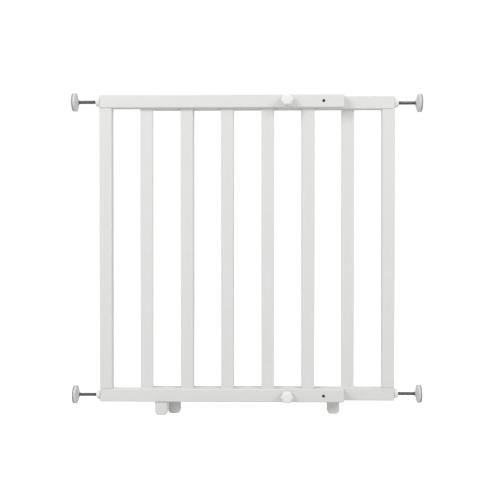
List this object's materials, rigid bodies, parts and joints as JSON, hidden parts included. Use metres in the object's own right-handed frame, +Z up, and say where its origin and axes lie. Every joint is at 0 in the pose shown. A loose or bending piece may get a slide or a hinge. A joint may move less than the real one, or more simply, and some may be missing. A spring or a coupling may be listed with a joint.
{
  "type": "safety gate",
  "caption": "Pressure-fit wooden safety gate: two slatted frames that slide past each other, clamped by hand knobs, with threaded wall spindles, hand nuts, round pads and short feet.",
  "frame": {"origin": "on the floor, under the middle of the gate's box from pad to pad and from knob fronts to rear pads", "axes": "+X along the doorway from the front frame's side to the rear frame's side, +Z up, -Y towards the knobs"},
  "size_m": [0.7994, 0.0756, 0.737],
  "materials": {
    "painted_wood": "satin white paint",
    "bare_wood": "unpainted beech",
    "white_plastic": "moulded white plastic, semi-gloss",
    "white_rubber": "soft matt white rubber",
    "zinc_steel": "bright zinc plated"
  },
  "bodies": {
    "front_frame": {"front_top_rail": "painted_wood", "front_bottom_rail": "painted_wood", "front_post": "painted_wood", "front_slat_1": "painted_wood", "front_slat_2": "painted_wood", "front_slat_3": "painted_wood", "front_slat_4": "painted_wood", "front_slat_5": "painted_wood", "front_top_dowel": "bare_wood", "front_bottom_dowel": "bare_wood", "front_outer_foot": "white_plastic", "front_outer_foot_screw": "zinc_steel", "left_top_bushing": "white_plastic", "left_bottom_bushing": "white_plastic", "top_bolt": "zinc_steel", "top_back_washer": "zinc_steel", "bottom_bolt": "zinc_steel", "bottom_back_washer": "zinc_steel"},
    "rear_frame": {"rear_top_rail": "painted_wood", "rear_bottom_rail": "painted_wood", "rear_post": "painted_wood", "rear_slat_1": "painted_wood", "rear_slat_2": "painted_wood", "rear_slat_3": "painted_wood", "rear_slat_4": "painted_wood", "rear_slat_5": "painted_wood", "rear_top_dowel": "bare_wood", "rear_bottom_dowel": "bare_wood", "rear_inner_foot": "white_plastic", "rear_inner_foot_screw": "zinc_steel", "rear_outer_foot": "white_plastic", "rear_outer_foot_screw": "zinc_steel", "right_top_bushing": "white_plastic", "right_bottom_bushing": "white_plastic"},
    "left_top_nut": {"left_top_nut": "white_plastic"},
    "left_top_spindle": {"left_top_rod": "zinc_steel", "left_top_pad_cup": "white_plastic", "left_top_pad_rubber": "white_rubber"},
    "left_bottom_nut": {"left_bottom_nut": "white_plastic"},
    "left_bottom_spindle": {"left_bottom_rod": "zinc_steel", "left_bottom_pad_cup": "white_plastic", "left_bottom_pad_rubber": "white_rubber"},
    "right_top_nut": {"right_top_nut": "white_plastic"},
    "right_top_spindle": {"right_top_rod": "zinc_steel", "right_top_pad_cup": "white_plastic", "right_top_pad_rubber": "white_rubber"},
    "right_bottom_nut": {"right_bottom_nut": "white_plastic"},
    "right_bottom_spindle": {"right_bottom_rod": "zinc_steel", "right_bottom_pad_cup": "white_plastic", "right_bottom_pad_rubber": "white_rubber"},
    "top_knob_washer": {"top_knob_washer": "zinc_steel"},
    "top_knob": {"top_knob": "white_plastic", "top_knob_insert": "zinc_steel"},
    "bottom_knob_washer": {"bottom_knob_washer": "zinc_steel"},
    "bottom_knob": {"bottom_knob": "white_plastic", "bottom_knob_insert": "zinc_steel"}
  },
  "joints": [
    {"name": "frame_slide", "type": "slide", "parent": "front_frame", "child": "rear_frame", "axis": [1, 0, 0], "range_m": [-0.1128, 0.2306]},
    {"name": "left_top_nut_turn", "type": "hinge", "parent": "front_frame", "child": "left_top_nut", "pos_m": [-0.34, -0.0052, 0.716], "axis": [1, 0, 0], "range_deg": [-9792.5, 8640.5]},
    {"name": "left_top_spindle_slide", "type": "slide", "parent": "front_frame", "child": "left_top_spindle", "axis": [-1, 0, 0], "range_m": [-0.034, 0.03]},
    {"name": "left_bottom_nut_turn", "type": "hinge", "parent": "front_frame", "child": "left_bottom_nut", "pos_m": [-0.34, -0.0052, 0.046], "axis": [1, 0, 0], "range_deg": [-9792.5, 8640.5]},
    {"name": "left_bottom_spindle_slide", "type": "slide", "parent": "front_frame", "child": "left_bottom_spindle", "axis": [-1, 0, 0], "range_m": [-0.034, 0.03]},
    {"name": "right_top_nut_turn", "type": "hinge", "parent": "rear_frame", "child": "right_top_nut", "pos_m": [0.34, 0.0168, 0.716], "axis": [-1, 0, 0], "range_deg": [-9792.5, 8640.5]},
    {"name": "right_top_spindle_slide", "type": "slide", "parent": "rear_frame", "child": "right_top_spindle", "axis": [1, 0, 0], "range_m": [-0.034, 0.03]},
    {"name": "right_bottom_nut_turn", "type": "hinge", "parent": "rear_frame", "child": "right_bottom_nut", "pos_m": [0.34, 0.0168, 0.046], "axis": [-1, 0, 0], "range_deg": [-9792.5, 8640.5]},
    {"name": "right_bottom_spindle_slide", "type": "slide", "parent": "rear_frame", "child": "right_bottom_spindle", "axis": [1, 0, 0], "range_m": [-0.034, 0.03]},
    {"name": "top_knob_back_off", "type": "slide", "parent": "front_frame", "child": "top_knob_washer", "axis": [0, -1, 0], "range_m": [0, 0.002]},
    {"name": "top_knob_turn", "type": "hinge", "parent": "top_knob_washer", "child": "top_knob", "pos_m": [0.08995, -0.0282, 0.716], "axis": [0, -1, 0], "range_deg": [0, 720]},
    {"name": "bottom_knob_back_off", "type": "slide", "parent": "front_frame", "child": "bottom_knob_washer", "axis": [0, -1, 0], "range_m": [0, 0.002]},
    {"name": "bottom_knob_turn", "type": "hinge", "parent": "bottom_knob_washer", "child": "bottom_knob", "pos_m": [0.08995, -0.0282, 0.046], "axis": [0, -1, 0], "range_deg": [0, 720]}
  ],
  "couplings": [
    {"joint": "left_top_nut_turn", "follows": "left_top_spindle_slide", "rad_per_m": 5026.5},
    {"joint": "left_bottom_nut_turn", "follows": "left_bottom_spindle_slide", "rad_per_m": 5026.5},
    {"joint": "right_top_nut_turn", "follows": "right_top_spindle_slide", "rad_per_m": 5026.5},
    {"joint": "right_bottom_nut_turn", "follows": "right_bottom_spindle_slide", "rad_per_m": 5026.5},
    {"joint": "top_knob_back_off", "follows": "top_knob_turn", "m_per_rad": 0.00015915},
    {"joint": "bottom_knob_back_off", "follows": "bottom_knob_turn", "m_per_rad": 0.00015915}
  ]
}
